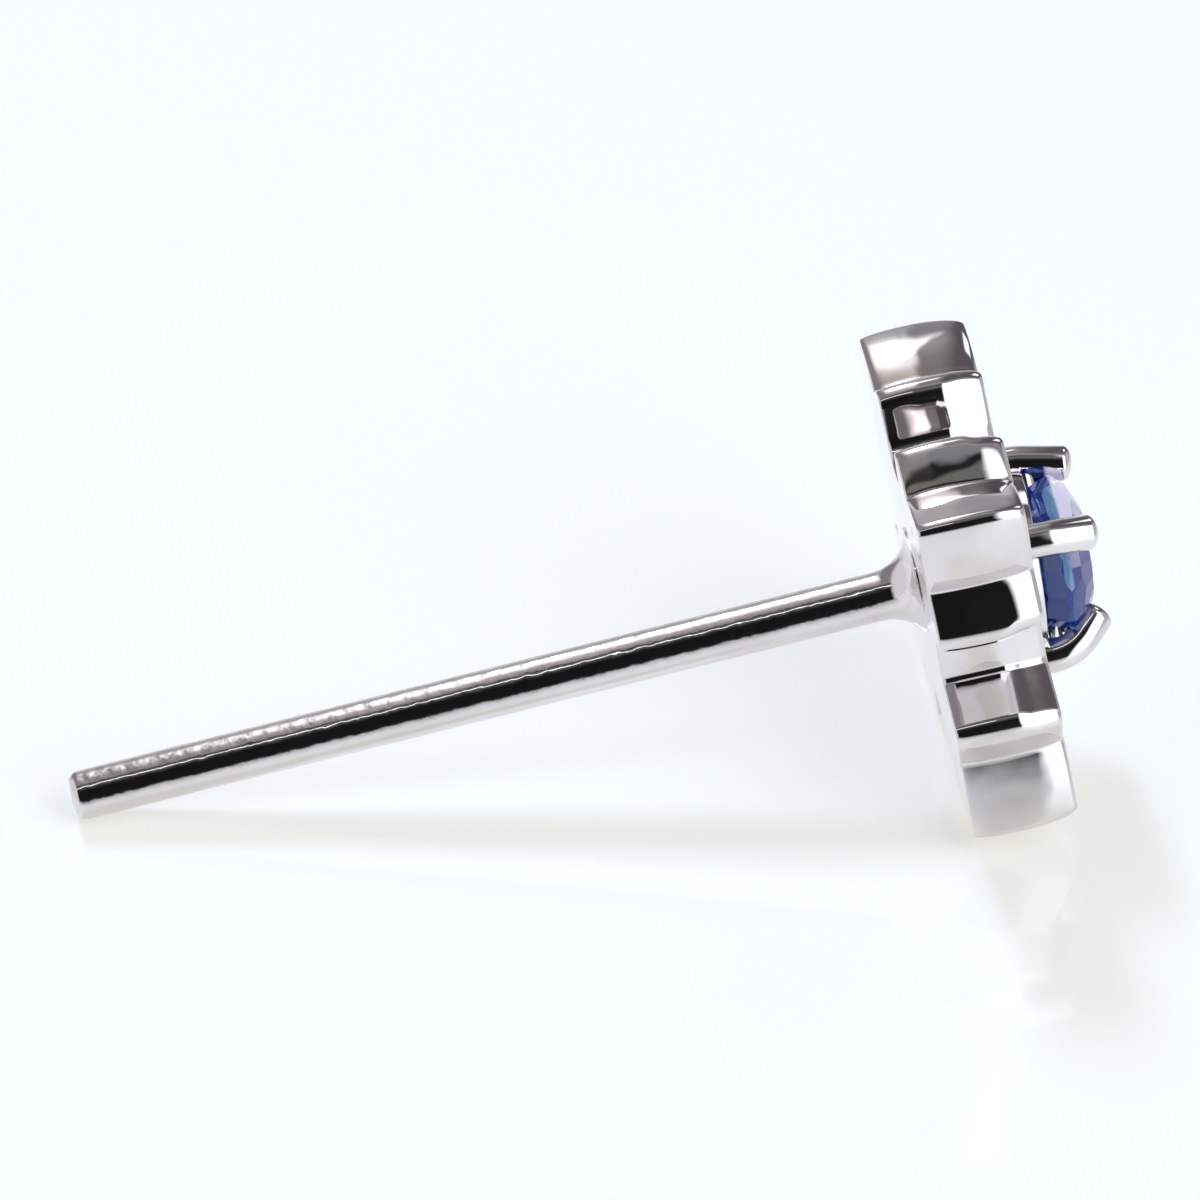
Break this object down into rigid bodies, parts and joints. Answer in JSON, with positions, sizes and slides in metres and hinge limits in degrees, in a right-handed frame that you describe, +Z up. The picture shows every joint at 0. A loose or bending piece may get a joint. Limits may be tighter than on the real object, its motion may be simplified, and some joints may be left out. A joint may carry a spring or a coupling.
{
  "type": "stud earring",
  "caption": "Flower-shaped stud earring of polished white metal with a claw-set round blue stone and a straight ear post, lying on its petals and post tip.",
  "frame": {"origin": "on the table under the middle of the stud as it lies", "axes": "+X from the post's tip towards the stone side of the head, +Y across the head, +Z up"},
  "size_m": [0.0146, 0.0056, 0.0057],
  "materials": {
    "white_gold": "mirror polished",
    "blue_stone": "faceted and polished"
  },
  "bodies": {
    "root": {"metal": "white_gold", "stone": "blue_stone"}
  },
  "joints": []
}
